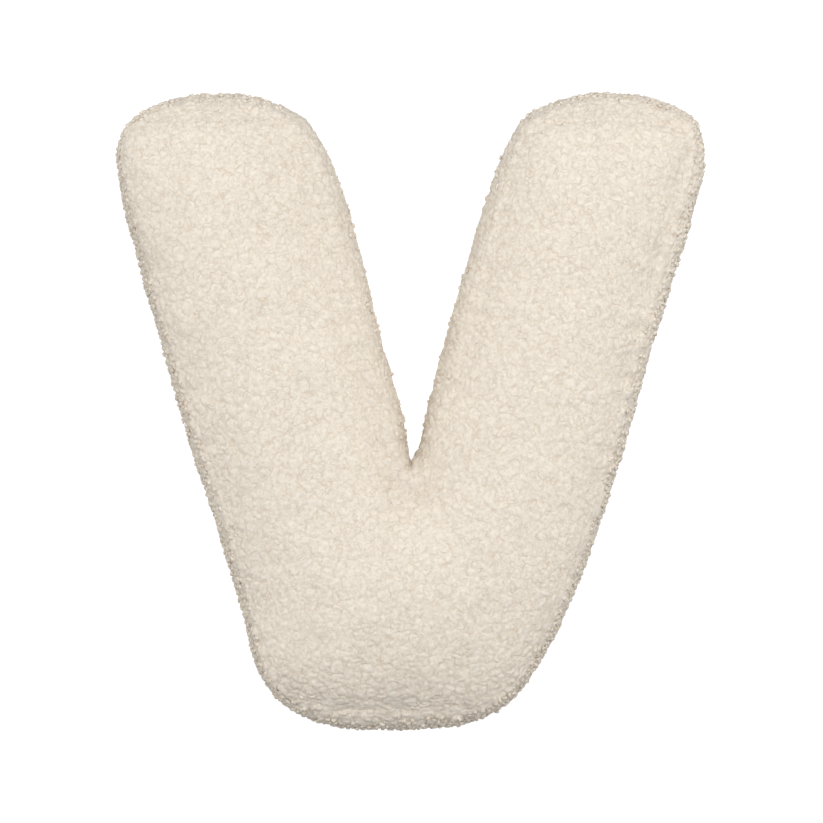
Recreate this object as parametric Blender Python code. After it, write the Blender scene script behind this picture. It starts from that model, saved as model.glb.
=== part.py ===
"""A plump letter V cushion in cream teddy fleece, lying on its back.

It is a boxed cushion: a front panel and a back panel of the same V are joined all round by
one gusset strip, and the three are filled as one body, so here they are one solid.
X runs across the letter, Y runs up the letter, and Z runs up from the surface it lies on.
The origin is under the middle of the letter, on that surface.
"""

import bmesh
import bpy
import numpy as np

MM = 0.001

# Heights, in millimetres. The gusset's rounded shoulders lie beside the two seams.
BACK_SEAM = 18.0
GUSSET_HEIGHT = 70.0  # from one shoulder to the other
SEAM_GROOVE = 4.0  # how far the stitches draw a seam in from its shoulder
LOWER_SHOULDER = BACK_SEAM - SEAM_GROOVE
FRONT_SEAM = LOWER_SHOULDER + GUSSET_HEIGHT - SEAM_GROOVE
FRONT_CROWN = 26.0  # the front panel's rise above its seam, along the middle of an arm

# How the cover swells.
CROWN_FULLNESS = 0.6  # power of the rise from a seam, and a low one is plump close to the seam
ARM_PULL = 45.0  # pull_distance in the middle of an arm, where the crown is at its height
CONTACT_PULL = 30.0  # pull_distance from which the back panel lies flat on the surface
BACK_FULLNESS = 2.2
GUSSET_FULLNESS = 0.9  # power of the strip's curve: 1 is an ellipse, and less is squarer

# The two seams' distances in from the widest line of the gusset add up to this, because
# the front panel leans a little towards the left arm and the back panel the other way.
INSETS_TOGETHER = 30.0
LEAST_INSET = 8.0

# The arms' ends, in millimetres.
END_RISE = 20.5  # of the gusset's widest line over its two corners
SEAM_END_RISE = 13.0
SEAM_END_INSET = 8.0
END_SQUARENESS = 2.5

# Cross sections of the letter from the top of the left arm, round the foot, to the top of
# the right arm, in millimetres from the middle of the letter. Outer and inner are the two
# ends of a section on the widest line of the gusset; the insets are the front seam's.
SECTIONS = (
    # place, outer x, outer y, inner x, inner y, outer inset, inner inset
    ("left arm, top corners", -221.4, 228.0, -80.9, 228.8, 5.0, 17.0),
    ("left arm, shoulders", -230.8, 193.5, -61.2, 193.5, 9.0, 27.0),
    ("left arm, upper part", -214.3, 123.6, -39.6, 123.6, 8.0, 30.0),
    ("left arm, middle", -195.1, 54.6, -22.8, 54.6, 11.5, 26.0),
    ("left arm, lower part", -176.6, -14.5, -7.1, -0.4, 14.0, 25.0),
    ("left arm, at the notch", -153.0, -86.7, -1.2, -28.7, 14.0, 24.0),
    ("foot, left side", -132.3, -155.8, 0.8, -37.3, 13.0, 25.5),
    ("foot, left corner", -111.0, -220.0, 2.0, -39.3, 12.0, 26.0),
    ("foot, left of the middle", -63.5, -247.5, 2.4, -39.7, 18.0, 26.0),
    ("foot, middle", -3.9, -250.0, 2.7, -40.0, 18.0, 26.0),
    ("foot, right of the middle", 49.0, -245.0, 3.1, -39.7, 14.0, 25.0),
    ("foot, right corner", 88.0, -219.5, 3.5, -39.3, 13.0, 21.0),
    ("foot, right side", 123.2, -155.8, 4.7, -37.3, 9.0, 16.0),
    ("right arm, at the notch", 149.4, -86.7, 6.7, -28.7, 9.0, 13.5),
    ("right arm, lower part", 172.2, -14.5, 13.0, -0.4, 13.0, 15.5),
    ("right arm, middle", 191.4, 54.6, 27.5, 54.6, 17.0, 20.0),
    ("right arm, upper part", 213.0, 123.6, 47.1, 123.6, 19.0, 19.0),
    ("right arm, shoulders", 231.6, 193.5, 69.1, 193.5, 17.0, 13.5),
    ("right arm, top corners", 225.4, 228.5, 87.1, 228.8, 10.0, 6.0),
)

# Fineness of the mesh.
STEPS_BETWEEN_SECTIONS = 4
STEPS_ACROSS = 14
STEPS_DOWN_GUSSET = 10
END_STEPS = 8  # steps over which the bow of an arm's end dies out along the arm
STITCHES_PER_STEP = 6  # points on a seam that hold the crown down, for each mesh edge

FLEECE_COLOUR = (0.775, 0.701, 0.597, 1.0)
FLEECE_ROUGHNESS = 0.95


def along(rows):
    """Smooth values along the letter: a cubic from each section to the next, whose slope at
    a section is half the step between the sections beside it."""
    slopes = np.gradient(rows, axis=0)
    at = np.linspace(0, len(rows) - 1, STEPS_BETWEEN_SECTIONS * (len(rows) - 1) + 1)
    i = np.minimum(at.astype(int), len(rows) - 2)
    t = (at - i)[:, None]
    start = (2 * t**3 - 3 * t**2 + 1) * rows[i]
    leave = (t**3 - 2 * t**2 + t) * slopes[i]
    end = (3 * t**2 - 2 * t**3) * rows[i + 1]
    arrive = (t**3 - t**2) * slopes[i + 1]
    return start + leave + end + arrive


def plan(outer, inner, rise):
    """The (x, y) points of a V seen from above, on a grid along the letter and across it.
    A section is a straight line from its outer to its inner end, closer stepped near both,
    and at the arms' ends it bows up by the rise."""
    even = np.linspace(0, 1, STEPS_ACROSS + 1)
    across = (even + (1 - np.cos(np.pi * even)) / 2) / 2
    a, b = along(outer)[:, None], along(inner)[:, None]
    grid = a + (b - a) * across[None, :, None]
    bow = 1 - np.abs(2 * across - 1) ** END_SQUARENESS
    steps = np.arange(len(grid))
    from_end = np.minimum(steps, steps[::-1])
    fade = np.clip(1 - from_end / END_STEPS, 0, 1) ** 2
    grid[..., 1] += rise * fade[:, None] * bow
    return grid


def seam_plan(sections, insets):
    """The plan of a panel: each section's ends are moved in along it by their insets, and
    the ends of the arms are moved down by theirs."""
    outer, inner = sections[:, 0:2], sections[:, 2:4]
    towards_inner = (inner - outer) / np.linalg.norm(inner - outer, axis=1)[:, None]
    outer = outer + towards_inner * insets[:, :1]
    inner = inner - towards_inner * insets[:, 1:]
    for end in (0, -1):
        outer[end, 1] -= SEAM_END_INSET
        inner[end, 1] -= SEAM_END_INSET
    return plan(outer, inner, SEAM_END_RISE)


def rim(grid):
    """The closed loop round a grid: down the left arm and up the right one on the outer
    edge, over the right arm's end, back on the inner edge, and over the left arm's end."""
    return np.concatenate([grid[:, 0], grid[-1, 1:], grid[-2::-1, -1], grid[0, -2:0:-1]])


def pull_distance(grid):
    """How free each point of a panel is of its seam. Every stitch pulls with its length over
    the cube of its distance, and the result is the distance of a long straight seam that
    pulls as much. It is 0 on the seam, and smooth along the middle of the arms."""
    loop = rim(grid)
    step = np.roll(loop, -1, axis=0) - loop
    shares = (np.arange(STITCHES_PER_STEP) + 0.5) / STITCHES_PER_STEP
    stitches = (loop[:, None] + step[:, None] * shares[None, :, None]).reshape(-1, 2)
    lengths = np.repeat(np.linalg.norm(step, axis=1) / STITCHES_PER_STEP, STITCHES_PER_STEP)
    inside = grid[1:-1, 1:-1]
    away = np.linalg.norm(inside[:, :, None] - stitches, axis=-1)
    free = np.zeros(grid.shape[:2])
    free[1:-1, 1:-1] = np.sqrt(2 / (lengths / away**3).sum(axis=-1))
    return free


def front_panel(grid):
    """The front panel rises from its seam as a power of the pull distance."""
    crown = FRONT_CROWN * (pull_distance(grid) / ARM_PULL) ** CROWN_FULLNESS
    return np.dstack([grid, FRONT_SEAM + crown])


def back_panel(grid):
    """The back panel swells down from its seam and runs out level on the surface."""
    free = np.clip(pull_distance(grid) / CONTACT_PULL, 0, 1)
    return np.dstack([grid, BACK_SEAM * (1 - free) ** BACK_FULLNESS])


def gusset_rings(front, widest, back):
    """The loops of the strip between the two seams. Going down, each loop moves out to the
    widest line and in again with a power of the sine, and down with one of the cosine."""
    for share in np.linspace(0, 1, STEPS_DOWN_GUSSET + 1)[1:-1]:
        seam = front if share < 0.5 else back
        out = np.sin(np.pi * share) ** GUSSET_FULLNESS
        up = np.cos(np.pi * share)
        up = np.sign(up) * abs(up) ** GUSSET_FULLNESS
        height = np.full(len(widest), LOWER_SHOULDER + (1 + up) * GUSSET_HEIGHT / 2)
        yield np.column_stack([seam + (widest - seam) * out, height])


def cushion_surface():
    """The points and the four-sided faces of the whole cover, with the faces facing out."""
    table = np.array([row[1:] for row in SECTIONS])
    sections, front_insets = table[:, :4], table[:, 4:]
    back_insets = np.maximum(LEAST_INSET, INSETS_TOGETHER - front_insets)
    front = seam_plan(sections, front_insets)
    back = seam_plan(sections, back_insets)
    widest = rim(plan(sections[:, 0:2], sections[:, 2:4], END_RISE))

    long, wide = front.shape[:2]
    number = np.arange(long * wide).reshape(long, wide)
    points = [front_panel(front).reshape(-1, 3), back_panel(back).reshape(-1, 3)]
    loops = [rim(number)]
    used = 2 * long * wide
    for ring in gusset_rings(rim(front), widest, rim(back)):
        points.append(ring)
        loops.append(np.arange(used, used + len(ring)))
        used += len(ring)
    loops.append(rim(number) + long * wide)

    corners = (number[:-1, :-1], number[1:, :-1], number[1:, 1:], number[:-1, 1:])
    up = np.stack(corners, axis=-1).reshape(-1, 4)
    faces = [up, up[:, ::-1] + long * wide]
    for above, below in zip(loops[:-1], loops[1:]):
        sides = (above, below, np.roll(below, -1), np.roll(above, -1))
        faces.append(np.stack(sides, axis=-1))
    return np.concatenate(points), np.concatenate(faces)


def centred(points):
    """The points moved sideways until the middle of their box is over the origin."""
    middle = (points.min(axis=0) + points.max(axis=0)) / 2
    return points - np.array([middle[0], middle[1], 0])


def fleece_material():
    material = bpy.data.materials.new("teddy_fleece")
    material.use_nodes = True
    shader = material.node_tree.nodes["Principled BSDF"]
    shader.inputs["Base Color"].default_value = FLEECE_COLOUR
    shader.inputs["Roughness"].default_value = FLEECE_ROUGHNESS
    shader.inputs["Metallic"].default_value = 0.0
    return material


def add_cushion():
    points, faces = cushion_surface()
    mesh = bpy.data.meshes.new("cushion")
    mesh.from_pydata((centred(points) * MM).tolist(), [], faces.tolist())
    shape = bmesh.new()
    shape.from_mesh(mesh)
    bmesh.ops.recalc_face_normals(shape, faces=shape.faces[:])
    shape.to_mesh(mesh)
    shape.free()
    mesh.shade_smooth()
    mesh.materials.append(fleece_material())
    cushion = bpy.data.objects.new("cushion", mesh)
    bpy.context.scene.collection.objects.link(cushion)


for thing in list(bpy.data.objects):
    bpy.data.objects.remove(thing)
add_cushion()
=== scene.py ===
"""A plump letter V cushion in cream teddy fleece, lying on its back, seen from straight above."""

import bmesh
import bpy
import numpy as np
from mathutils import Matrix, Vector


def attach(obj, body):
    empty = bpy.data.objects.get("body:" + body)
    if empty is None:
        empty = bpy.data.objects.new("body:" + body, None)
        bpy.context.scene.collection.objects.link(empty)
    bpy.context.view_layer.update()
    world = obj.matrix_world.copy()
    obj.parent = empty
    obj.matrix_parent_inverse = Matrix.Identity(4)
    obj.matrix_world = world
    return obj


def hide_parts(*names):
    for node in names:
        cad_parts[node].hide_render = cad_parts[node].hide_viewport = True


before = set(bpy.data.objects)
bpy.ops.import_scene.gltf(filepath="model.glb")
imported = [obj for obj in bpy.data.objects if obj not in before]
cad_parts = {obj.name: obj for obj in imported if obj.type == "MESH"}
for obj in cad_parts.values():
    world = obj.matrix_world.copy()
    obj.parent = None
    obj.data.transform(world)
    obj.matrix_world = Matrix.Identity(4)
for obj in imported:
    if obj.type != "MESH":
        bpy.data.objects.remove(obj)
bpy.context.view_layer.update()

MM = 0.001

# The filled cover
# Two V panels and the gusset strip between them are sewn from one fleece and stuffed with
# loose fibre through a gap in the back seam. Here it is the cloth itself, under its pile:
# it swells against its stitches, and lies flat where it rests.

PILE_DEPTH = 3.5 * MM  # from the cloth to the tips of the pile
PRESSED_PILE = 1.2 * MM  # what is left of the pile's depth under the cushion's weight
FRONT_SEAM = 80.0 * MM
BACK_SEAM = 18.0 * MM
MIDDLE_HEIGHT = (FRONT_SEAM + BACK_SEAM) / 2
SEAM_HEIGHT_SLACK = 0.05 * MM
SEAM_STEP = 2.0 * MM  # between the points that stand for a seam's stitches
LEAST_LENGTH = 1e-9  # keeps a share of no length from being divided by nought
COVER_VOXEL = 5.5 * MM
STITCH_HOLD = 5.0 * MM  # cloth nearer than this to a seam is held by its stitches
HOLD_LEVELS = 8  # steps in which the hold fades out to twice that distance
SWELL_SHARE = 0.4  # the solid is full already, so only this much of the swelling is added
MOST_SWELL = 4.0 * MM
FILLING_FRAMES = 20


def mesh_points(mesh):
    """The mesh's points as rows of x, y, z."""
    points = np.empty(len(mesh.vertices) * 3, np.float32)
    mesh.vertices.foreach_get("co", points)
    return points.reshape(-1, 3).astype(float)


def mesh_normals(mesh):
    """The mesh's smooth outward directions, one for each point."""
    normals = np.empty(len(mesh.vertices) * 3, np.float32)
    mesh.vertex_normals.foreach_get("vector", normals)
    return normals.reshape(-1, 3).astype(float)


def set_mesh_points(mesh, points):
    """Moves the mesh's points to the given rows of x, y, z."""
    mesh.vertices.foreach_set("co", points.astype(np.float32).ravel())
    mesh.update()


def joined_copy(node, name):
    """A copy of a node's mesh with its loose triangles joined along their edges."""
    mesh = node.data.copy()
    mesh.name = name
    shape = bmesh.new()
    shape.from_mesh(mesh)
    bmesh.ops.remove_doubles(shape, verts=shape.verts[:], dist=0.01 * MM)
    shape.to_mesh(mesh)
    shape.free()
    mesh.materials.clear()
    return mesh


def seam_edges(mesh, points, height):
    """A sewn seam as the start and end points of its edges: every edge of the solid whose
    two ends lie at the seam's height."""
    edges = np.empty(len(mesh.edges) * 2, np.int32)
    mesh.edges.foreach_get("vertices", edges)
    edges = edges.reshape(-1, 2)
    at_height = np.abs(mesh_points(mesh)[:, 2] - height) < SEAM_HEIGHT_SLACK
    edges = edges[at_height[edges].all(axis=1)]
    return points[edges[:, 0]], points[edges[:, 1]]


def stepped(start, end, step):
    """Points along some edges, in equal parts of each that are a step long or less."""
    parts = int(np.ceil(np.linalg.norm(end - start, axis=1).max() / step))
    shares = (np.arange(parts) + 0.5) / parts
    return (start[:, None] + (end - start)[:, None] * shares[None, :, None]).reshape(-1, 3)


def within(seam, points):
    """True for the points inside a seam as it is seen from above, from where a straight
    line along X crosses the seam an odd number of times."""
    inside = np.zeros(len(points), bool)
    x, y = points[:, 0], points[:, 1]
    for (start_x, start_y, _), (end_x, end_y, _) in zip(*seam):
        if start_y != end_y:
            slope = (end_x - start_x) / (end_y - start_y)
            crossed = ((start_y > y) != (end_y > y)) & (x < start_x + (y - start_y) * slope)
            inside ^= crossed
    return inside


def nearest_on(line, points, chunk=4000):
    """For each point, the distance to the nearest row of the line and that row's number."""
    away = np.empty(len(points))
    row = np.empty(len(points), int)
    lengths = (line**2).sum(axis=1)
    for first in range(0, len(points), chunk):
        some = points[first:first + chunk]
        squares = lengths - 2 * some @ line.T
        best = squares.argmin(axis=1)
        row[first:first + chunk] = best
        away[first:first + chunk] = np.linalg.norm(some - line[best], axis=1)
    return away, row


def evaluated_mesh(thing):
    """The mesh of an object with its modifiers worked in."""
    graph = bpy.context.evaluated_depsgraph_get()
    return bpy.data.meshes.new_from_object(thing.evaluated_get(graph))


def work_in_modifiers(thing):
    """Puts the evaluated mesh in the place of the object's mesh and its modifiers."""
    mesh = evaluated_mesh(thing)
    thing.modifiers.clear()
    thing.data = mesh


solid = joined_copy(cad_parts["cushion"], "cover")
tips = mesh_points(solid)
cloth = tips - mesh_normals(solid) * PILE_DEPTH
front_seam = seam_edges(solid, cloth, FRONT_SEAM)
back_seam = seam_edges(solid, cloth, BACK_SEAM)
seams = np.concatenate([stepped(*front_seam, SEAM_STEP), stepped(*back_seam, SEAM_STEP)])

set_mesh_points(solid, cloth)
cover = bpy.data.objects.new("cover", solid)
bpy.context.scene.collection.objects.link(cover)
remesh = cover.modifiers.new("even mesh", "REMESH")
remesh.mode = "VOXEL"
remesh.voxel_size = COVER_VOXEL
work_in_modifiers(cover)


def fill_cover():
    """Blows the cover up with Blender's cloth while its stitches hold the seams."""
    start = mesh_points(cover.data)
    away, _ = nearest_on(seams, start)
    held = cover.vertex_groups.new(name="stitches")
    hold = np.clip(2 - away / STITCH_HOLD, 0, 1)
    for level in range(1, HOLD_LEVELS + 1):
        rows = np.flatnonzero(np.rint(hold * HOLD_LEVELS) == level)
        held.add(rows.tolist(), level / HOLD_LEVELS, "REPLACE")
    filling = cover.modifiers.new("filling", "CLOTH")
    filling.settings.quality = 4
    filling.settings.mass = 0.03
    filling.settings.tension_stiffness = 15
    filling.settings.compression_stiffness = 15
    filling.settings.shear_stiffness = 6
    filling.settings.bending_stiffness = 1.0
    filling.settings.use_pressure = True
    filling.settings.uniform_pressure_force = 200
    filling.settings.vertex_group_mass = "stitches"
    filling.settings.effector_weights.gravity = 0
    filling.point_cache.frame_start = 1
    filling.point_cache.frame_end = FILLING_FRAMES
    for number in range(1, FILLING_FRAMES + 1):
        bpy.context.scene.frame_set(number)
    swollen = mesh_points(evaluated_mesh(cover))
    cover.modifiers.clear()
    cover.vertex_groups.clear()
    bpy.context.scene.frame_set(1)
    moved = (swollen - start) * SWELL_SHARE
    far = np.linalg.norm(moved, axis=1)
    moved *= (np.minimum(far, MOST_SWELL) / np.maximum(far, LEAST_LENGTH))[:, None]
    set_mesh_points(cover.data, start + moved)


fill_cover()
cover_cloth = cover.data.copy()

# The seams and creases
# What the sewing and the filling press into the cloth: the stitches' grooves and the
# puckers beside them, the filling's lumps, a few creases and the thin tip of the notch.

GROOVE_DEPTH = 0.9 * MM
GROOVE_WIDTH = 4.5 * MM
GROOVE_UNEVENNESS = 0.3
GROOVE_WAVES = (60 * MM, 18 * MM, 24, 11)  # longest and shortest wave, their count, and seed
SHOULDER_SAG = 1.7 * MM  # how far the strip's edge sinks beside the front seam
SHOULDER_MIDDLE = 8.0 * MM  # how far from the seam it sinks most
SHOULDER_WIDTH = 6.0 * MM
PUCKER_DEPTH = 0.6 * MM
PUCKER_REACH = 14.0 * MM
PUCKER_WAVES = (22 * MM, 11 * MM, 24, 12)
LUMP_HEIGHT = 0.35 * MM
LUMP_WAVES = (70 * MM, 28 * MM, 40, 13)
CREASES = (  # on the front panel: start x, start y, end x, end y and depth, in millimetres
    (-135.8, -23.5, -129.7, -33.5, 1.3),
    (-13.5, -73.4, -0.5, -87.3, 1.1),
    (-22.0, -49.0, -15.5, -58.0, 0.9),
    (-10.0, -52.0, -12.0, -58.5, 1.2),
    (1.0, -47.0, 2.5, -59.0, 1.2),
)
CREASE_WIDTH = 2.0 * MM
NOTCH_TIP = (-1.8 * MM, -36.0 * MM)  # where the walls of the notch meet
SLIT_DEPTH = 6.5 * MM
SLIT_WIDTH = 3.5 * MM
SLIT_LENGTH = 9.0 * MM
SLIT_FADE = 15.0 * MM  # height over which the slit dies out by a seam


def waves(points, longest, shortest, count, seed):
    """A smooth random field of about unit height over space: the mean of many plane waves
    with seeded directions, phases and lengths between the two given."""
    rng = np.random.default_rng(seed)
    way = rng.normal(size=(count, 3))
    way /= np.linalg.norm(way, axis=1)[:, None]
    length = rng.uniform(shortest, longest, count)
    phase = rng.uniform(0, 2 * np.pi, count)
    turns = points @ (2 * np.pi * way / length[:, None]).T + phase
    return np.cos(turns).sum(axis=1) / np.sqrt(count / 2)


def creases(points):
    """How far each point is pressed in by the front panel's few creases: a bell curve of
    the distance to a crease, seen from above."""
    depth = np.zeros(len(points))
    for start_x, start_y, end_x, end_y, deepest in CREASES:
        start = np.array([start_x, start_y]) * MM
        way = np.array([end_x, end_y]) * MM - start
        share = np.clip((points[:, :2] - start) @ way / (way @ way), 0, 1)
        away = np.linalg.norm(points[:, :2] - start - share[:, None] * way, axis=1)
        depth += deepest * MM * np.exp(-(away / CREASE_WIDTH) ** 2)
    return depth * (points[:, 2] > FRONT_SEAM)


def open_notch(points):
    """The points with the tip of the notch drawn out into a thin slit: a shift along -Y
    by a bell curve round the tip, seen from above, that dies out by the two seams."""
    across = (points[:, 0] - NOTCH_TIP[0]) / SLIT_WIDTH
    along = (points[:, 1] - NOTCH_TIP[1]) / SLIT_LENGTH
    height = points[:, 2]
    room = np.minimum(FRONT_SEAM + SLIT_FADE / 2 - height, height) / SLIT_FADE
    opened = points.copy()
    opened[:, 1] -= SLIT_DEPTH * np.exp(-across**2 - along**2) * np.clip(room, 0, 1)
    return opened


def press_cloth(points, normals):
    """The cloth's points moved along their normals: in by a bell curve of the distance to a
    seam and by the creases, in and out by puckers that die out away from a seam, and by the
    filling's lumps. The strip also sinks by a bell curve round a line beside the front seam."""
    away, row = nearest_on(seams, points)
    beside = (points[:, 2] > MIDDLE_HEIGHT) & ~within(front_seam, points)
    sag = SHOULDER_SAG * beside * np.exp(-((away - SHOULDER_MIDDLE) / SHOULDER_WIDTH) ** 2)
    sag *= np.clip(away / GROOVE_WIDTH, 0, 1)
    tightness = 1 + GROOVE_UNEVENNESS * waves(seams[row], *GROOVE_WAVES)
    groove = GROOVE_DEPTH * tightness * np.exp(-(away / GROOVE_WIDTH) ** 2)
    pucker = PUCKER_DEPTH * waves(seams[row], *PUCKER_WAVES)
    pucker *= np.exp(-(away / PUCKER_REACH) ** 2)
    lumps = LUMP_HEIGHT * waves(points, *LUMP_WAVES)
    out = pucker + lumps - groove - sag - creases(points)
    return open_notch(points + normals * out[:, None])


points = press_cloth(mesh_points(cover.data), mesh_normals(cover.data))
points[:, 2] = np.maximum(points[:, 2], PRESSED_PILE)
set_mesh_points(cover.data, points)
cover.data.shade_smooth()

# The fleece
# Every piece is cut from one cream teddy fleece. Its polyester pile is matt and cream, and the
# shade down in the cracks between its curls is painted into its colour, darker and warmer.

CLUMPS = 1 / (8.5 * MM)  # clumps of pile in a metre
CURLS = 1 / (3.6 * MM)  # the smaller curls that a clump is made of
LOOPS = 1 / (2.0 * MM)  # the finest loops of yarn
CLUMP_CRACK = 0.075  # widths of the edges with painted crack shade and bump, as shares of a cell
CURL_CRACK = 0.125
LOOP_CRACK = 0.2
CLUMP_SHADE = 0.57  # how much shade is painted on the edges, as shares of the way to the painted crack shade colour
CURL_SHADE = 0.45
LOOP_SHADE = 0.4
# painted shade along the seams and in the creases, as a share of the way to the cracks' colour
CREASE_SHADE = 0.22
TOPS_COLOUR = (0.90, 0.828, 0.72, 1)
# painted shade: the darker, warmer colour that stands in for the shadow down in the cracks
PAINTED_CRACK_SHADE_COLOUR = (0.68, 0.53, 0.385, 1)
FIBRES = 1200  # fibres across a metre
FIBRE_HEIGHT = 0.6
RELIEF = 0.8 * MM
CROOKED_REACH = 0.9 * MM
CROOKED_LONGEST = 10 * MM
CROOKED_SHORTEST = 4 * MM
CROOKED_WAVES = 30
CROOKED_SEED = 21


def teddy_fleece():
    """Matt cream pile. Its clumps and curls are the cells of two random patterns, read at
    the bent places that the mesh keeps: their edges get painted shade, darker and warmer,
    and sink as bump, more or less from place to place. The fine fibres lie over them as bump."""
    material = bpy.data.materials.new("teddy_fleece")
    material.use_nodes = True
    tree = material.node_tree
    shader = tree.nodes["Principled BSDF"]
    shader.inputs["Roughness"].default_value = 0.95
    shader.inputs["Specular IOR Level"].default_value = 0.1
    shader.inputs["Sheen Weight"].default_value = 0.15
    shader.inputs["Sheen Roughness"].default_value = 0.6

    def node(kind, inputs=(), **settings):
        made = tree.nodes.new(kind)
        for name, value in settings.items():
            setattr(made, name, value)
        for name, value in dict(inputs).items():
            if isinstance(value, bpy.types.NodeSocket):
                tree.links.new(value, made.inputs[name])
            else:
                made.inputs[name].default_value = value
        return made

    def math(operation, first, second):
        return node("ShaderNodeMath", {0: first, 1: second}, operation=operation).outputs[0]

    def noise(scale, detail, distortion=0.0):
        return node("ShaderNodeTexNoise", {"Vector": place, "Scale": scale, "Detail": detail,
                                           "Distortion": distortion}).outputs["Fac"]

    def near_edge(density, width):
        """1 on the edges between cells, falling to 0 at the width, a share of a cell."""
        cells = node("ShaderNodeTexVoronoi", {"Vector": bent, "Scale": density},
                     feature="DISTANCE_TO_EDGE")
        return node("ShaderNodeMapRange", {"Value": cells.outputs["Distance"], "From Max": width,
                                           "To Min": 1.0, "To Max": 0.0},
                    interpolation_type="SMOOTHERSTEP").outputs["Result"]

    def between(value, low, high, least, most):
        """The value's way from low to high, as a number from least to most."""
        return node("ShaderNodeMapRange", {"Value": value, "From Min": low, "From Max": high,
                                           "To Min": least, "To Max": most}).outputs["Result"]

    place = node("ShaderNodeTexCoord").outputs["Object"]
    bent = node("ShaderNodeAttribute", attribute_name="bent").outputs["Vector"]

    # How much of each kind of edge shows, from place to place.
    crack_share = between(noise(150, 2), 0.32, 0.6, 0.0, 1.0)
    curl_share = between(noise(260, 2), 0.4, 0.65, 0.0, 1.0)
    loop_share = between(noise(340, 2), 0.42, 0.66, 0.0, 1.0)
    crack = math("MULTIPLY", near_edge(CLUMPS, CLUMP_CRACK), crack_share)
    curl = math("MULTIPLY", near_edge(CURLS, CURL_CRACK), curl_share)
    loop = math("MULTIPLY", near_edge(LOOPS, LOOP_CRACK), loop_share)
    # Painted shade along the seams and in the front panel's creases, kept on the panels.
    painted_crease_shade = node("ShaderNodeAttribute", attribute_name="painted_crease_shade").outputs["Fac"]
    # Painted shade: the edges of clumps, curls and loops, the seams and the creases are darkened
    # toward the painted crack shade colour, and the same amount sinks them as bump.
    painted_shade_and_depth = math("MULTIPLY", crack, CLUMP_SHADE)
    painted_shade_and_depth = math("MAXIMUM", painted_shade_and_depth, math("MULTIPLY", curl, CURL_SHADE))
    painted_shade_and_depth = math("MAXIMUM", painted_shade_and_depth, math("MULTIPLY", loop, LOOP_SHADE))
    painted_shade_and_depth = math("MAXIMUM", painted_shade_and_depth, math("MULTIPLY", painted_crease_shade, CREASE_SHADE))

    # The pile's cream, with painted shade toward the cracks.
    colour = node("ShaderNodeValToRGB", {"Fac": painted_shade_and_depth})
    tops, cracks = colour.color_ramp.elements
    tops.color = TOPS_COLOUR
    cracks.color = PAINTED_CRACK_SHADE_COLOUR
    shade = math("MULTIPLY", between(noise(30, 2), 0.3, 0.7, 0.985, 1.015),
                 between(noise(420, 3), 0.3, 0.7, 0.92, 1.06))
    tint = node("ShaderNodeVectorMath", {0: colour.outputs["Color"], "Scale": shade},
                operation="SCALE")
    tree.links.new(tint.outputs["Vector"], shader.inputs["Base Color"])

    fibres = math("MULTIPLY", noise(FIBRES, 2, 1.0), FIBRE_HEIGHT)
    height = math("SUBTRACT", fibres, painted_shade_and_depth)
    bump = node("ShaderNodeBump", {"Height": height, "Strength": 0.7, "Distance": RELIEF})
    tree.links.new(bump.outputs["Normal"], shader.inputs["Normal"])
    return material


def crooked(points):
    """The points pushed about by three smooth random fields, which bends straight cells."""
    push = [waves(points, CROOKED_LONGEST, CROOKED_SHORTEST, CROOKED_WAVES, CROOKED_SEED + axis)
            for axis in range(3)]
    return points + CROOKED_REACH * np.column_stack(push)


def keep_on(mesh, label, values):
    """Keeps one number or one vector for each point as a named attribute of the mesh."""
    kind, field = ("FLOAT", "value") if values.ndim == 1 else ("FLOAT_VECTOR", "vector")
    kept = mesh.attributes.new(label, kind, "POINT")
    kept.data.foreach_set(field, values.astype(np.float32).ravel())


fleece = teddy_fleece()
cover.data.materials.append(fleece)
keep_on(cover.data, "bent", crooked(points))
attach(cover, "root")
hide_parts("cushion")

# The pile
# Teddy fleece is knitted with short loose yarn that curls up into small soft clumps. They
# crowd on the cloth of each panel and of the strip, so that only thin crooked cracks are
# left between them, and beside the seams they are pulled down into the stitches.

CRACK_DEPTH = (0.75 * MM, 1.4 * MM)  # between clumps of the smoothest pile, and of rough pile
CURL_HEIGHT = (0.34 * MM, 1.2 * MM)
CLUMP_SINK = (0.8, 0.9)  # share of a crack's depth that lies under the solid's surface
CURL_SINK = (0.6, 0.8)
CLUMP_ROUNDING = 0.14  # how far a clump's rounded edge reaches, as a share of a cell
CURL_ROUNDING = 0.2
EDGE_FULLNESS = 1.2
LEVEL_NORMAL = 0.95  # the pile is smooth where the surface is as level as this
SLOPE_ROUGHNESS = 1.1
MOST_SLOPE_ROUGHNESS = 0.7
STRIP_ROUGHNESS = 0.25  # how much rougher the strip's pile is than the panels'
SEAM_MARGIN = 5.0 * MM  # beside a seam the strip's curls are still small
FOOT_ROUGHNESS = 0.25  # how much rougher the pile is near the letter's foot
FOOT_TOP = -90.0 * MM
FOOT_FADE = 120.0 * MM
SEAM_PAINTED_SHADE_REACH = 1.6 * MM  # how far the painted shade along a seam reaches
# a crease this deep gets the full painted shade
DEEP_CREASE = 2.0 * MM
CONTACT_CLEARANCE = 0.3 * MM


def refine(thing, levels):
    """Rounds a mesh off by Blender's subdivision and works the result in."""
    fine = thing.modifiers.new("fine", "SUBSURF")
    fine.levels = levels
    fine.render_levels = levels
    work_in_modifiers(thing)


def geometry_tree(name):
    """An empty Geometry Nodes tree, with the socket of what comes in and of what goes out."""
    tree = bpy.data.node_groups.new(name, "GeometryNodeTree")
    tree.interface.new_socket("Geometry", in_out="INPUT", socket_type="NodeSocketGeometry")
    tree.interface.new_socket("Geometry", in_out="OUTPUT", socket_type="NodeSocketGeometry")
    given = tree.nodes.new("NodeGroupInput").outputs[0]
    made = tree.nodes.new("NodeGroupOutput").inputs[0]
    return tree, given, made


def result_of(tree, thing):
    """The mesh that a tree makes of an object, which stays as it is."""
    thing.modifiers.new("tree", "NODES").node_group = tree
    mesh = evaluated_mesh(thing)
    thing.modifiers.clear()
    return mesh


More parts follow.
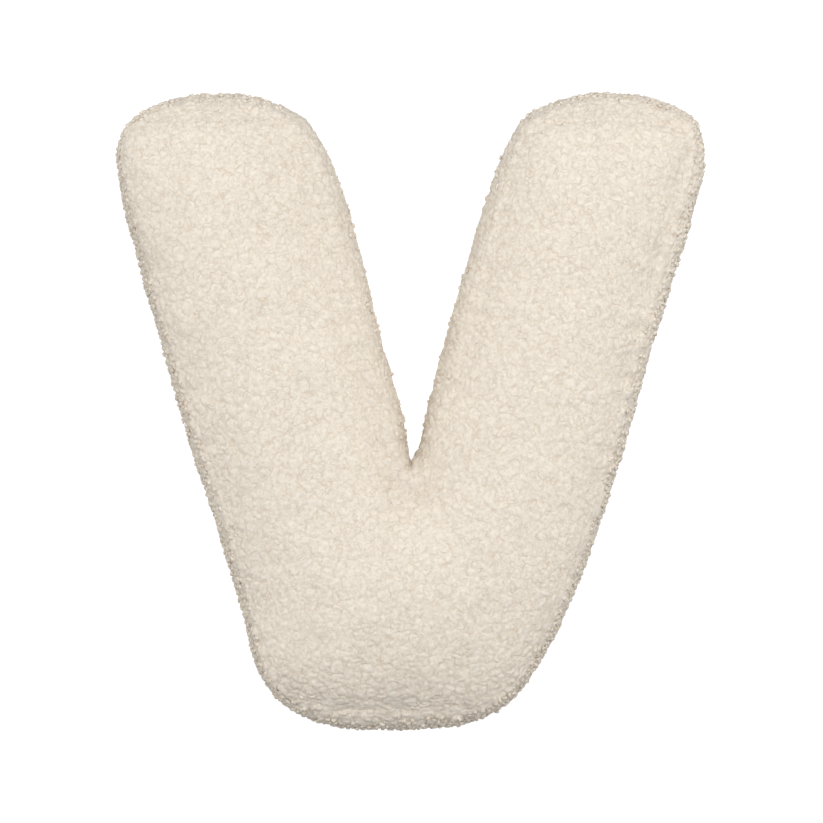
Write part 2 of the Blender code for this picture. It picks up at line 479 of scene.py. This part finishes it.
def edge_distances(thing, densities):
    """For each point of a mesh and each density, how far its bent place is from the edge of
    its cell in the material's own pattern, as a share of a cell."""
    tree, geometry, made = geometry_tree("cells")
    bent = tree.nodes.new("GeometryNodeInputNamedAttribute")
    bent.data_type = "FLOAT_VECTOR"
    bent.inputs["Name"].default_value = "bent"
    for number, density in enumerate(densities):
        cells = tree.nodes.new("ShaderNodeTexVoronoi")
        cells.feature = "DISTANCE_TO_EDGE"
        cells.inputs["Scale"].default_value = density
        kept = tree.nodes.new("GeometryNodeStoreNamedAttribute")
        kept.inputs["Name"].default_value = f"edge{number}"
        tree.links.new(bent.outputs["Attribute"], cells.inputs["Vector"])
        tree.links.new(geometry, kept.inputs["Geometry"])
        tree.links.new(cells.outputs["Distance"], kept.inputs["Value"])
        geometry = kept.outputs["Geometry"]
    tree.links.new(geometry, made)
    mesh = result_of(tree, thing)
    found = np.empty((len(densities), len(mesh.vertices)), np.float32)
    for number, row in enumerate(found):
        mesh.attributes[f"edge{number}"].data.foreach_get("value", row)
    return found.astype(float)


def pile_height(clump_edge, curl_edge, rough):
    """How far the pile's surface stands over or under the solid's. A clump is flat on top
    and falls away at its edge by an exponential, and so do the smaller curls on it, which
    stand up more on the strip than on the panels."""
    def at_roughness(smoothest, ragged):
        return smoothest + (ragged - smoothest) * rough

    clump = 1 - np.exp(-(clump_edge / CLUMP_ROUNDING) ** EDGE_FULLNESS)
    curl = 1 - np.exp(-(curl_edge / CURL_ROUNDING) ** EDGE_FULLNESS)
    clump_height = at_roughness(*CRACK_DEPTH) * (clump - at_roughness(*CLUMP_SINK))
    return clump_height + at_roughness(*CURL_HEIGHT) * (curl - at_roughness(*CURL_SINK))


def fleece_mesh(name, points, *faces):
    """A smooth mesh of fleece from whole arrays, one of its points and one or more of its
    faces, whose rows are the numbers of their corners."""
    corners = np.concatenate([some.ravel() for some in faces])
    sizes = np.concatenate([np.full(len(some), some.shape[1]) for some in faces])
    mesh = bpy.data.meshes.new(name)
    mesh.vertices.add(len(points))
    mesh.vertices.foreach_set("co", points.astype(np.float32).ravel())
    mesh.loops.add(len(corners))
    mesh.loops.foreach_set("vertex_index", corners.astype(np.int32))
    mesh.polygons.add(len(sizes))
    mesh.polygons.foreach_set("loop_start", (sizes.cumsum() - sizes).astype(np.int32))
    mesh.update(calc_edges=True)
    mesh.validate()
    mesh.shade_smooth()
    mesh.materials.append(fleece)
    return mesh


def fleece_piece(mesh):
    """A piece of the cushion's pile."""
    piece = bpy.data.objects.new(mesh.name, mesh)
    bpy.context.scene.collection.objects.link(piece)
    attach(piece, "root")
    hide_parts("cushion")


pile = bpy.data.objects.new("pile", cover_cloth)
bpy.context.scene.collection.objects.link(pile)
refine(pile, 2)
pile_points = mesh_points(pile.data)
pile_normals = mesh_normals(pile.data)
bent = crooked(pile_points)
keep_on(pile.data, "bent", bent)
clump_edge, curl_edge = edge_distances(pile, (CLUMPS, CURLS))
pressed = press_cloth(pile_points, pile_normals)
on_top = pile_points[:, 2] > MIDDLE_HEIGHT
on_front = on_top & within(front_seam, pile_points)
on_back = ~on_top & within(back_seam, pile_points)
seam_away, _ = nearest_on(seams, pile_points)
rough = np.clip((LEVEL_NORMAL - pile_normals[:, 2]) * SLOPE_ROUGHNESS, 0, MOST_SLOPE_ROUGHNESS)
rough += STRIP_ROUGHNESS * ~(on_front | on_back) * np.clip(seam_away / SEAM_MARGIN, 0, 1)
rough += FOOT_ROUGHNESS * np.clip((FOOT_TOP - pile_points[:, 1]) / FOOT_FADE, 0, 1)
height = pile_height(clump_edge, curl_edge, rough)
# Painted shade along the seams and in the creases, from the distance to a seam and the creases'
# depth.
painted_crease_shade = np.exp(-(seam_away / SEAM_PAINTED_SHADE_REACH) ** 2) + creases(pile_points) / DEEP_CREASE
pile_surface = pressed + pile_normals * (PILE_DEPTH + height)[:, None]
pile_surface[:, 2] = np.maximum(pile_surface[:, 2], CONTACT_CLEARANCE)

# The tufts of the strip
# Where the fleece bends round the cushion's sides, its curls stand apart from each other as
# loose tufts of yarn. The stitches and the weight of the cushion press them flat.

TUFT_GAP = 3.7 * MM  # least distance between the roots of two tufts
TUFT_CROWDING = 2.5  # tries at a root in each square of the gap
TUFT_LENGTH = 4.8 * MM
TUFT_WIDTH = 3.6 * MM
TUFT_HEIGHT = 3.0 * MM
TUFT_LIFT = -0.8 * MM  # of a tuft's middle over the solid's surface
TUFT_LIFT_SPREAD = 0.4 * MM
TUFT_LIFT_LIMITS = (-1.5, 1.8)  # least and most of the spread
TUFT_SIZES = (0.75, 1.25)  # the smallest and the largest share of the length and the width
TUFT_HEIGHTS = (0.7, 1.3)
TUFT_BEND = 0.5  # most sideways bend of a tuft's ends, as a share of half its length
TUFT_LEAN = 0.5  # most slope of a tuft against the surface
TUFT_RAGGEDNESS = 0.2  # how far its points stand off its even shape
TUFT_DIP = 0.25  # how far its ends dip, as a share of its height
TUFT_RINGS = 3
TUFT_SIDES = 6
TUFT_FULLNESS = 0.8
NEARLY_UP = 0.9
TUFT_MARGIN = 3.5 * MM  # least distance of a root from the seams
TUFT_LEVEL = 0.8  # no tufts where the surface is more level than this
TUFT_ONSET = 2.5
CONTACT_HEIGHT = 4.0 * MM  # lower than this the pile is pressed flat under the cushion
NOTCH_FLOOR = -60.0 * MM  # above this line of the plan the walls of the notch have few tufts
NOTCH_FACING = -0.35
NOTCH_REACH = 15.0 * MM
NOTCH_SHARE = 0.2
SCATTER_SEED = 3
TUFT_SEED = 7


def scatter_roots(surface, gap, seed):
    """Points spread over a surface at random but never closer than the gap, with the
    surface's outward directions there, from a Geometry Nodes point scatter."""
    tree, given, made = geometry_tree("scatter")
    spread = tree.nodes.new("GeometryNodeDistributePointsOnFaces")
    spread.distribute_method = "POISSON"
    spread.inputs["Distance Min"].default_value = gap
    spread.inputs["Density Max"].default_value = TUFT_CROWDING / gap**2
    spread.inputs["Seed"].default_value = seed
    kept = tree.nodes.new("GeometryNodeStoreNamedAttribute")
    kept.data_type = "FLOAT_VECTOR"
    kept.inputs["Name"].default_value = "outward"
    rows = tree.nodes.new("GeometryNodePointsToVertices")
    tree.links.new(given, spread.inputs["Mesh"])
    tree.links.new(spread.outputs["Points"], kept.inputs["Geometry"])
    tree.links.new(spread.outputs["Normal"], kept.inputs["Value"])
    tree.links.new(kept.outputs["Geometry"], rows.inputs["Points"])
    tree.links.new(rows.outputs["Mesh"], made)
    mesh = result_of(tree, surface)
    outward = np.empty(len(mesh.vertices) * 3, np.float32)
    mesh.attributes["outward"].data.foreach_get("vector", outward)
    return mesh_points(mesh), outward.reshape(-1, 3).astype(float)


def tuft_template():
    """One straight tuft of unit size as shares along, across and up, its bands of quads and
    its two caps of triangles. Rings of a circle stand along it, and their size follows the
    sine of the way along, so both ends are round."""
    way = np.pi * np.arange(1, TUFT_RINGS + 1) / (TUFT_RINGS + 1)
    turn = 2 * np.pi * np.arange(TUFT_SIDES) / TUFT_SIDES
    along = np.repeat(-np.cos(way), TUFT_SIDES)
    across = (np.sin(way)[:, None] ** TUFT_FULLNESS * np.cos(turn)).ravel()
    up = (np.sin(way)[:, None] ** TUFT_FULLNESS * np.sin(turn)).ravel()
    shares = np.column_stack([along, across, up])
    shares = np.concatenate([shares, [[-1, 0, 0], [1, 0, 0]]])
    number = np.arange(TUFT_RINGS * TUFT_SIDES).reshape(TUFT_RINGS, TUFT_SIDES)
    after = np.roll(number, -1, axis=1)
    quads = np.stack([number[:-1], after[:-1], after[1:], number[1:]], axis=-1).reshape(-1, 4)
    first, last = number.size, number.size + 1
    caps = np.concatenate([
        np.stack([np.full(TUFT_SIDES, first), after[0], number[0]], axis=-1),
        np.stack([np.full(TUFT_SIDES, last), number[-1], after[-1]], axis=-1),
    ])
    return shares, quads, caps


def tuft_points(roots, outward, rng):
    """The points of all tufts. A tuft is the template scaled to its own size, bent sideways
    by the square of the way along, its ends dipped by the same square, leaning at random,
    and turned at random about the outward direction."""
    shares, _, _ = tuft_template()
    count = len(roots)
    length = TUFT_LENGTH * rng.uniform(*TUFT_SIZES, count)
    width = TUFT_WIDTH * rng.uniform(*TUFT_SIZES, count)
    height = TUFT_HEIGHT * rng.uniform(*TUFT_HEIGHTS, count)
    bend = rng.uniform(-TUFT_BEND, TUFT_BEND, count)
    lean = rng.uniform(-TUFT_LEAN, TUFT_LEAN, count)
    lift = TUFT_LIFT + TUFT_LIFT_SPREAD * rng.normal(size=count).clip(*TUFT_LIFT_LIMITS)
    ragged = rng.uniform(-TUFT_RAGGEDNESS, TUFT_RAGGEDNESS, (count, len(shares), 3))
    body = shares[None] * (1 + ragged)
    along = body[..., 0] * length[:, None] / 2
    square = body[..., 0] ** 2
    across = body[..., 1] * width[:, None] / 2 + bend[:, None] * square * length[:, None] / 2
    up = body[..., 2] * height[:, None] / 2
    up = up + lift[:, None] - square * height[:, None] * TUFT_DIP + lean[:, None] * along

    level = np.abs(outward[:, 2:]) < NEARLY_UP
    spare = np.where(level, [[0.0, 0.0, 1.0]], [[1.0, 0.0, 0.0]])
    side = np.cross(outward, spare)
    side /= np.linalg.norm(side, axis=1)[:, None]
    other = np.cross(outward, side)
    angle = rng.uniform(0, 2 * np.pi, count)[:, None]
    lie = side * np.cos(angle) + other * np.sin(angle)
    cross = np.cross(outward, lie)
    points = roots[:, None] + lie[:, None] * along[..., None]
    points += cross[:, None] * across[..., None] + outward[:, None] * up[..., None]
    points[..., 2] = np.maximum(points[..., 2], CONTACT_CLEARANCE)
    return points


def tuft_piece(name, points):
    """A piece of many tufts, each closed. The template's faces are repeated for each."""
    _, quads, caps = tuft_template()
    starts = np.arange(len(points))[:, None, None] * points.shape[1]
    points = points.reshape(-1, 3)
    quads = (quads[None] + starts).reshape(-1, 4)
    caps = (caps[None] + starts).reshape(-1, 3)
    mesh = fleece_mesh(name, points, quads, caps)
    keep_on(mesh, "bent", crooked(points))
    fleece_piece(mesh)


def share_of_tufts(roots, outward):
    """The chance of a tuft at each root. It grows with the slope of the surface, and is low
    on the walls of the notch and nothing at its tip."""
    share = np.clip((TUFT_LEVEL - outward[:, 2]) * TUFT_ONSET, 0, 1)
    beside_tip = np.abs(roots[:, 0]) < NOTCH_REACH
    on_wall = outward[:, 0] * np.sign(roots[:, 0]) < NOTCH_FACING
    in_notch = (on_wall | beside_tip) & (roots[:, 1] > NOTCH_FLOOR)
    share[in_notch] *= NOTCH_SHARE
    share[beside_tip & (np.abs(roots[:, 1] - NOTCH_TIP[1]) < NOTCH_REACH)] = 0
    return share


quads = np.empty(len(pile.data.polygons) * 4, np.int32)
pile.data.polygons.foreach_get("vertices", quads)
quads = quads.reshape(-1, 4)
set_mesh_points(pile.data, pressed + pile_normals * PILE_DEPTH)
roots, outward = scatter_roots(pile, TUFT_GAP, SCATTER_SEED)
bpy.data.objects.remove(pile)
upper = roots[:, 2] > MIDDLE_HEIGHT
on_strip = np.where(upper, ~within(front_seam, roots), ~within(back_seam, roots))
root_away, _ = nearest_on(seams, roots)
tuft_rng = np.random.default_rng(TUFT_SEED)
kept = on_strip & (root_away > TUFT_MARGIN) & (roots[:, 2] > CONTACT_HEIGHT)
kept &= tuft_rng.uniform(size=len(roots)) < share_of_tufts(roots, outward)
roots, outward = roots[kept], outward[kept]
tufts = tuft_points(roots, outward, tuft_rng)
left = roots[:, 0] < 0
tuft_piece("tufts_left", tufts[left])
tuft_piece("tufts_right", tufts[~left])

# The panels and the strip
# The front panel and the back panel are cut whole, and the strip goes all round in two
# halves here. Each has the pile's surface and ends at a seam, where the next one starts.


def panel_piece(name, chosen):
    """One cloth of the cover, as the part of the pile's surface whose faces are chosen."""
    used, faces = np.unique(quads[chosen], return_inverse=True)
    faces = faces.reshape(-1, 4)
    mesh = fleece_mesh(name, pile_surface[used], faces)
    keep_on(mesh, "bent", bent[used])
    # the painted shade along the seams and creases, for the material
    keep_on(mesh, "painted_crease_shade", painted_crease_shade[used])
    fleece_piece(mesh)


front_faces = on_front[quads].sum(axis=1) > 1
back_faces = on_back[quads].sum(axis=1) > 1
strip_faces = ~front_faces & ~back_faces
left_faces = pile_points[quads][..., 0].mean(axis=1) < 0
panel_piece("front_panel", front_faces)
panel_piece("gusset_left", strip_faces & left_faces)
panel_piece("gusset_right", strip_faces & ~left_faces)
panel_piece("back_panel", back_faces)

# The floor, the light and the camera
# A plain white floor under plain soft studio light, and a camera straight above the letter.

CAMERA_RISE = 2.25  # over the gusset's widest line
WIDEST_LINE = 0.049
VIEW_WIDTH = 0.6485  # across the picture, at the height of the widest line
SENSOR = 36.0  # millimetres, as Blender measures it
CAMERA_X = 0.0007
CLIP_END = 50
WHITE = (1, 1, 1, 1)
FLOOR_REACH = 6.0
FLOOR_GREY = 0.3
FLOOR_GLOW = 0.92
BOUNCE_GREY = 0.25  # of the unseen floor that throws the light back up at the cushion
SKY_STRENGTH = 0.56
CARD_GLOW = 1.6  # of the white card on the floor that lights the walls of the notch
CARD_CORNERS = (-0.03, -0.035), (0.035, 0.24)
LIGHT_AIM = (0.0, 0.0, 0.06)


def ground(name, level, colour, glow, low, high):
    """A level rectangle of one plain colour, which may glow."""
    mesh = bpy.data.meshes.new(name)
    corners = [(low[0], low[1], level), (high[0], low[1], level),
               (high[0], high[1], level), (low[0], high[1], level)]
    mesh.from_pydata(corners, [], [(0, 1, 2, 3)])
    paint = bpy.data.materials.new(name)
    paint.use_nodes = True
    shader = paint.node_tree.nodes["Principled BSDF"]
    shader.inputs["Base Color"].default_value = (colour, colour, colour, 1)
    shader.inputs["Roughness"].default_value = 0.9
    shader.inputs["Emission Color"].default_value = WHITE
    shader.inputs["Emission Strength"].default_value = glow
    mesh.materials.append(paint)
    plane = bpy.data.objects.new(name, mesh)
    bpy.context.scene.collection.objects.link(plane)
    return plane


whole_floor = (-FLOOR_REACH, -FLOOR_REACH), (FLOOR_REACH, FLOOR_REACH)
floor = ground("floor", 0.0, FLOOR_GREY, FLOOR_GLOW, *whole_floor)
floor.visible_diffuse = False
bounce = ground("floor_bounce", -1.0 * MM, BOUNCE_GREY, 0.0, *whole_floor)
bounce.visible_camera = False
card = ground("notch_card", -0.5 * MM, BOUNCE_GREY, CARD_GLOW, *CARD_CORNERS)
card.visible_camera = False

world = bpy.data.worlds.new("soft_white")
world.use_nodes = True
sky = world.node_tree.nodes["Background"]
sky.inputs["Color"].default_value = WHITE
sky.inputs["Strength"].default_value = SKY_STRENGTH
bpy.context.scene.world = world


def area_light(name, place, width, power):
    """A square soft box that faces the middle of the cushion."""
    light = bpy.data.lights.new(name, "AREA")
    light.shape = "SQUARE"
    light.size = width
    light.energy = power
    lamp = bpy.data.objects.new(name, light)
    bpy.context.scene.collection.objects.link(lamp)
    lamp.location = place
    aim = Vector(LIGHT_AIM) - Vector(place)
    lamp.rotation_euler = aim.to_track_quat("-Z", "Y").to_euler()


area_light("key", place=(0.3, 0.85, 2.0), width=1.4, power=21)
area_light("left", place=(-1.6, 0.2, 0.55), width=0.8, power=5.5)
area_light("right", place=(1.6, 0.2, 0.55), width=0.8, power=4.0)

camera_data = bpy.data.cameras.new("camera")
camera_data.sensor_width = SENSOR
camera_data.lens = SENSOR * CAMERA_RISE / VIEW_WIDTH
camera = bpy.data.objects.new("camera", camera_data)
camera.location = (CAMERA_X, 0, WIDEST_LINE + CAMERA_RISE)
camera_data.clip_end = CLIP_END
bpy.context.scene.collection.objects.link(camera)
bpy.context.scene.camera = camera
bpy.context.scene.view_settings.view_transform = "Standard"
